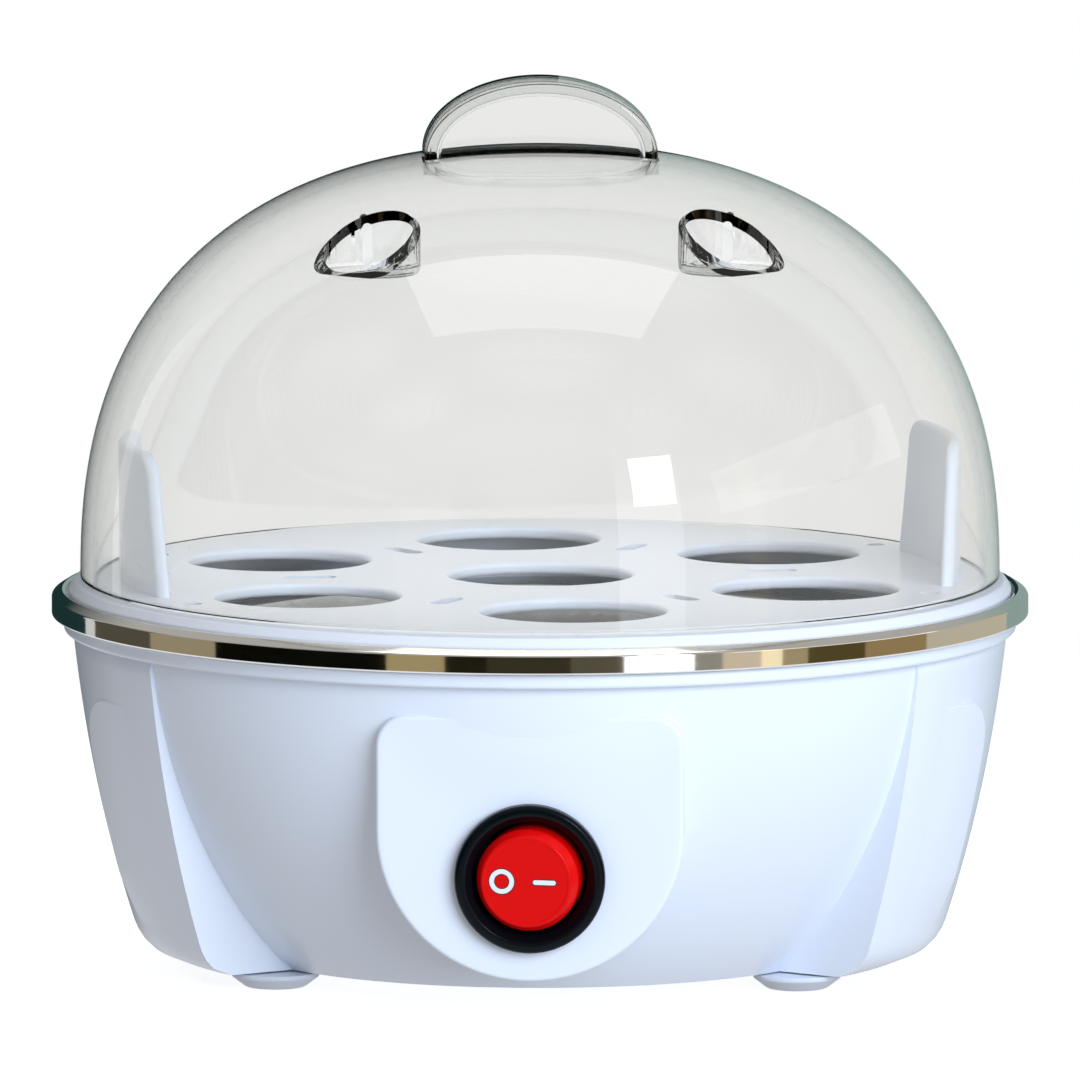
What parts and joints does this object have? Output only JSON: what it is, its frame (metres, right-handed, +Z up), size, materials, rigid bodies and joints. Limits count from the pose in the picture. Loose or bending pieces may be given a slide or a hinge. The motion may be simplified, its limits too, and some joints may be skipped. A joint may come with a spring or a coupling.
{
  "type": "egg cooker",
  "caption": "Round electric egg cooker: white base with two side legs and a red rocker switch, chrome band, heating pan, lift-out egg tray with posts, and clear domed lid with grip and vents.",
  "frame": {"origin": "on the table, under the middle of the cooker", "axes": "+Z up, the switch panel faces -Y, +X to the right seen from the front"},
  "size_m": [0.16, 0.16, 0.1463],
  "materials": {
    "clear_lid": "clear moulded plastic with a faint smoke tint",
    "tray_plastic": "light grey-white moulded plastic, satin",
    "white_plastic": "smooth white moulded plastic",
    "chrome_trim": "mirror bright",
    "black_plastic": "gloss black moulded plastic",
    "red_plastic": "translucent red, glossy",
    "stainless": "spun, satin",
    "aluminium": "as pressed",
    "zinc_steel": "zinc plated",
    "brass": "as stamped",
    "silicone": "soft translucent grey",
    "ceramic": "matt",
    "lamp_glass": "clear glass tube",
    "lead_sleeve": "glass-braid sleeve"
  },
  "bodies": {
    "base": {"base_housing": "white_plastic", "trim_ring": "chrome_trim", "cord_gland": "black_plastic", "heating_pan": "stainless", "switch_housing": "black_plastic", "bottom_cover": "white_plastic", "cover_screw_1": "zinc_steel", "cover_screw_2": "zinc_steel", "cover_screw_3": "zinc_steel", "cover_screw_4": "zinc_steel", "foot_1": "silicone", "foot_2": "silicone", "foot_3": "silicone", "foot_4": "silicone", "pan_seal": "silicone", "heat_spreader": "aluminium", "heating_element": "stainless", "element_pin_right": "brass", "element_pin_left": "brass", "pan_bridge": "zinc_steel", "bridge_screw_right": "zinc_steel", "bridge_screw_left": "zinc_steel", "thermostat": "ceramic", "thermostat_clip": "zinc_steel", "clip_screw_back": "zinc_steel", "clip_screw_front": "zinc_steel", "thermal_fuse": "ceramic", "switch_terminal_live": "brass", "switch_terminal_common": "brass", "switch_terminal_lamp": "brass", "crimp_cap_live": "silicone", "crimp_cap_neutral": "silicone", "lead_live": "lead_sleeve", "lead_switched": "lead_sleeve", "lead_lamp_neutral": "lead_sleeve", "lead_heater": "lead_sleeve", "lead_fuse_out": "lead_sleeve", "lead_fuse_in": "lead_sleeve"},
    "tray": {"egg_tray": "tray_plastic"},
    "lid": {"lid": "clear_lid"},
    "rocker": {"switch_rocker": "red_plastic", "rocker_plunger": "brass", "rocker_lamp": "lamp_glass"},
    "contact": {"switch_contact": "brass"}
  },
  "joints": [
    {"name": "tray_lift", "type": "slide", "parent": "base", "child": "tray", "axis": [0, 0, 1], "range_m": [0, 0.05]},
    {"name": "lid_lift", "type": "slide", "parent": "tray", "child": "lid", "axis": [0, 0, 1], "range_m": [0, 0.09]},
    {"name": "switch_rocker", "type": "hinge", "parent": "base", "child": "rocker", "pos_m": [0, -0.0715, 0.0241], "axis": [0, -0.0698, 0.9976], "range_deg": [0, 16]},
    {"name": "contact_rock", "type": "hinge", "parent": "base", "child": "contact", "pos_m": [0, -0.06093, 0.02484], "axis": [0, -0.0698, 0.9976], "range_deg": [-12, 0]}
  ],
  "couplings": [
    {"joint": "contact_rock", "follows": "switch_rocker", "ratio": -0.75}
  ]
}
